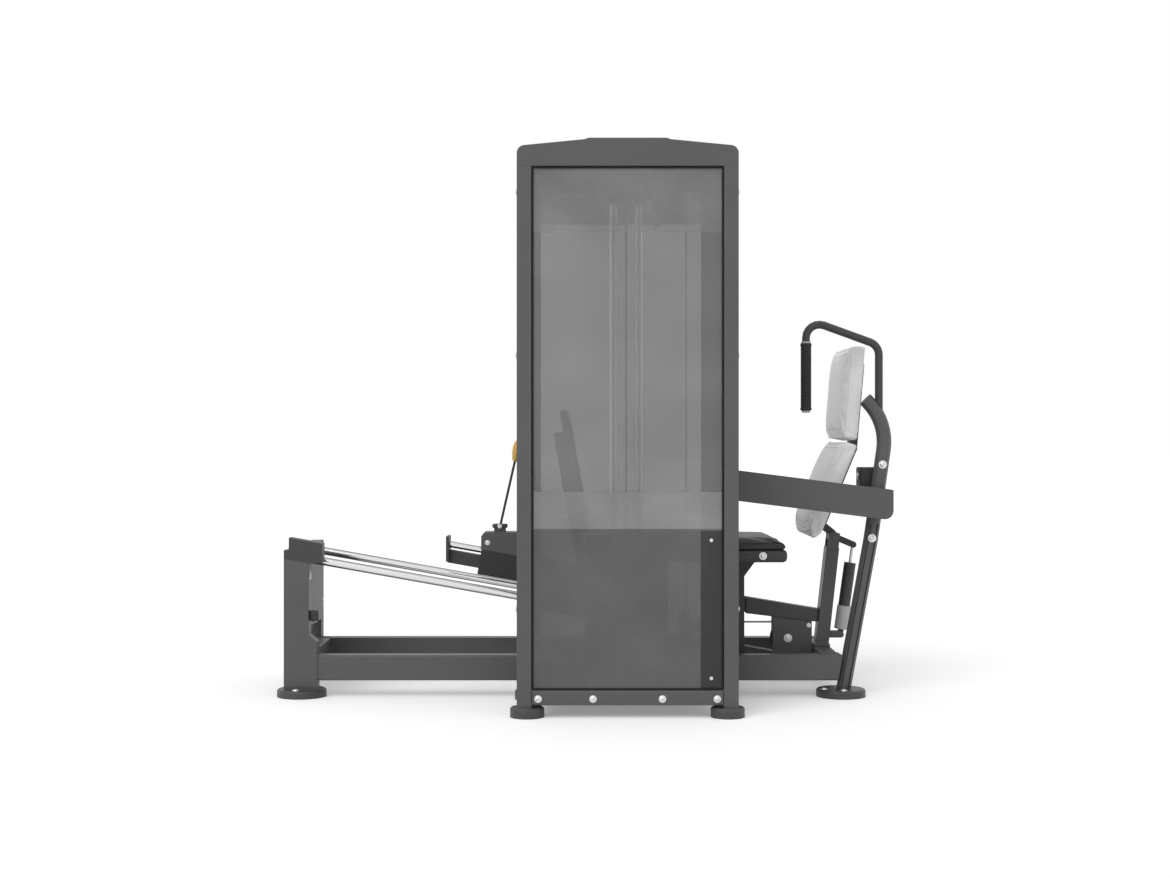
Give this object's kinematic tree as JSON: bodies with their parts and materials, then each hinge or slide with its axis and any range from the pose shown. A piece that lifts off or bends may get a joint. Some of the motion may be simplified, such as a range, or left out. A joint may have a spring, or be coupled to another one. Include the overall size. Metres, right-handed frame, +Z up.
{
  "type": "leg press",
  "caption": "Seated leg press with an inclined sled, side weight tower with a smoked shroud, dark seat, reclining light grey back and over-shoulder handle",
  "frame": {"origin": "middle of the footprint, on the floor", "axes": "X from the sled end to the backrest end, Y from the weight tower to the entry side, Z up"},
  "size_m": [1.8359, 0.953, 1.598],
  "materials": {
    "frame_grey": "satin grey powder coat",
    "dark_grey": "satin dark grey powder coat",
    "black_iron": "black coated weight plates",
    "chrome": "polished guide rods",
    "bright_steel": "plain steel and cable",
    "black_plastic": "moulded black plastic",
    "black_rubber": "black rubber",
    "smoked_panel": "smoked translucent shroud",
    "light_vinyl": "light grey upholstery",
    "dark_vinyl": "charcoal upholstery",
    "amber_plastic": "amber knob"
  },
  "bodies": {
    "frame": {"near_beam": "frame_grey", "far_beam": "frame_grey", "left_cross_member": "frame_grey", "seat_cross_member": "frame_grey", "rear_cross_member": "frame_grey", "end_post": "frame_grey", "far_end_leg": "frame_grey", "rod_housing": "frame_grey", "guide_rod_lower_bracket": "frame_grey", "lower_spine": "frame_grey", "backrest_pillar": "frame_grey", "rear_upright": "frame_grey", "wrap_round_arm": "frame_grey", "tower_front_left_post": "frame_grey", "tower_front_right_post": "frame_grey", "tower_rear_left_post": "frame_grey", "tower_rear_right_post": "frame_grey", "tower_base": "frame_grey", "tower_cap": "frame_grey", "end_post_cap": "dark_grey", "low_pulley_block": "dark_grey", "over_shoulder_handle": "dark_grey", "pulley_beam": "dark_grey", "bend_pulley_bracket": "dark_grey", "rise_pulley_bracket": "dark_grey", "seat_post": "dark_grey", "resting_weights": "black_iron", "near_guide_rod": "chrome", "far_guide_rod": "chrome", "stack_left_guide_rod": "chrome", "stack_right_guide_rod": "chrome", "cable_route": "bright_steel", "cable_sled_run": "bright_steel", "cable_stack_run": "bright_steel", "recline_lock_box": "black_plastic", "handle_grip": "black_rubber", "stack_buffer": "black_rubber", "front_shroud": "smoked_panel", "rear_shroud": "smoked_panel", "seat_pad": "dark_vinyl"},
    "sled": {"sled_carriage": "black_plastic", "clamp_block": "frame_grey"},
    "release_lever": {"release_lever": "dark_grey", "release_knob": "amber_plastic"},
    "foot_carriage": {"foot_carriage": "dark_grey", "adjuster_rod": "chrome", "foot_plate": "dark_grey"},
    "stack": {"selected_weights": "black_iron", "selector_stem": "bright_steel"},
    "selector_pin": {"selector_pin": "amber_plastic"},
    "low_pulley": {"low_pulley": "black_plastic"},
    "bend_pulley": {"bend_pulley": "black_plastic"},
    "rise_pulley": {"rise_pulley": "black_plastic"},
    "top_pulley": {"top_pulley": "black_plastic"},
    "crown_pulley": {"crown_pulley": "black_plastic"},
    "backrest": {"backrest_carrier": "dark_grey", "lower_back_pad": "light_vinyl", "upper_back_pad": "light_vinyl"},
    "strut_cylinder": {"strut_cylinder": "dark_grey"},
    "strut_rod": {"strut_rod": "bright_steel"}
  },
  "joints": [
    {"name": "sled_slide", "type": "slide", "parent": "frame", "child": "sled", "axis": [-0.9845, 0, 0.1754], "range_m": [0, 0.36], "deforming": ["cable_sled_run"]},
    {"name": "stack_lift", "type": "slide", "parent": "frame", "child": "stack", "axis": [0, 0, 1], "range_m": [0, 0.36], "deforming": ["cable_stack_run"]},
    {"name": "selector_pin_pull", "type": "slide", "parent": "stack", "child": "selector_pin", "axis": [0, 1, 0], "range_m": [0, 0.09]},
    {"name": "start_position", "type": "slide", "parent": "sled", "child": "foot_carriage", "axis": [0.9845, 0, -0.1754], "range_m": [0, 0.085]},
    {"name": "release_lever_turn", "type": "hinge", "parent": "sled", "child": "release_lever", "pos_m": [-0.2655, 0.177, 0.495], "axis": [0, -1, 0], "range_deg": [0, 14], "stiffness_Nm_per_rad": 1.2, "springref_deg": -20.05},
    {"name": "backrest_recline", "type": "hinge", "parent": "frame", "child": "backrest", "pos_m": [0.774, 0.177, 0.464], "axis": [0, -1, 0], "range_deg": [0, 10]},
    {"name": "strut_swing", "type": "hinge", "parent": "frame", "child": "strut_cylinder", "pos_m": [0.797, 0.177, 0.16], "axis": [0, 1, 0], "range_deg": [0, 1]},
    {"name": "strut_extend", "type": "slide", "parent": "strut_cylinder", "child": "strut_rod", "axis": [0.138, 0, 0.9904], "range_m": [0, 0.012]},
    {"name": "low_pulley_spin", "type": "hinge", "parent": "frame", "child": "low_pulley", "pos_m": [0.631, 0.177, 0.15], "axis": [0, 1, 0], "range_deg": [0, 431]},
    {"name": "bend_pulley_spin", "type": "hinge", "parent": "frame", "child": "bend_pulley", "pos_m": [0.33, 0.137, 0.198], "axis": [0, 0, -1], "range_deg": [0, 517]},
    {"name": "rise_pulley_spin", "type": "hinge", "parent": "frame", "child": "rise_pulley", "pos_m": [0.29, -0.229, 0.238], "axis": [1, 0, 0], "range_deg": [0, 517]},
    {"name": "top_pulley_spin", "type": "hinge", "parent": "frame", "child": "top_pulley", "pos_m": [0.2435, -0.269, 1.436], "axis": [0, 1, 0], "range_deg": [0, 445]},
    {"name": "crown_pulley_spin", "type": "hinge", "parent": "frame", "child": "crown_pulley", "pos_m": [0.164, -0.269, 1.505], "axis": [0, 1, 0], "range_deg": [0, 445]}
  ],
  "couplings": [
    {"joint": "stack_lift", "follows": "sled_slide", "ratio": 1},
    {"joint": "strut_swing", "follows": "backrest_recline", "ratio": 0.03232},
    {"joint": "strut_extend", "follows": "backrest_recline", "m_per_rad": 0.06574},
    {"joint": "low_pulley_spin", "follows": "sled_slide", "rad_per_m": 20.833},
    {"joint": "bend_pulley_spin", "follows": "sled_slide", "rad_per_m": 25},
    {"joint": "rise_pulley_spin", "follows": "sled_slide", "rad_per_m": 25},
    {"joint": "top_pulley_spin", "follows": "sled_slide", "rad_per_m": 21.505},
    {"joint": "crown_pulley_spin", "follows": "sled_slide", "rad_per_m": 21.505}
  ]
}
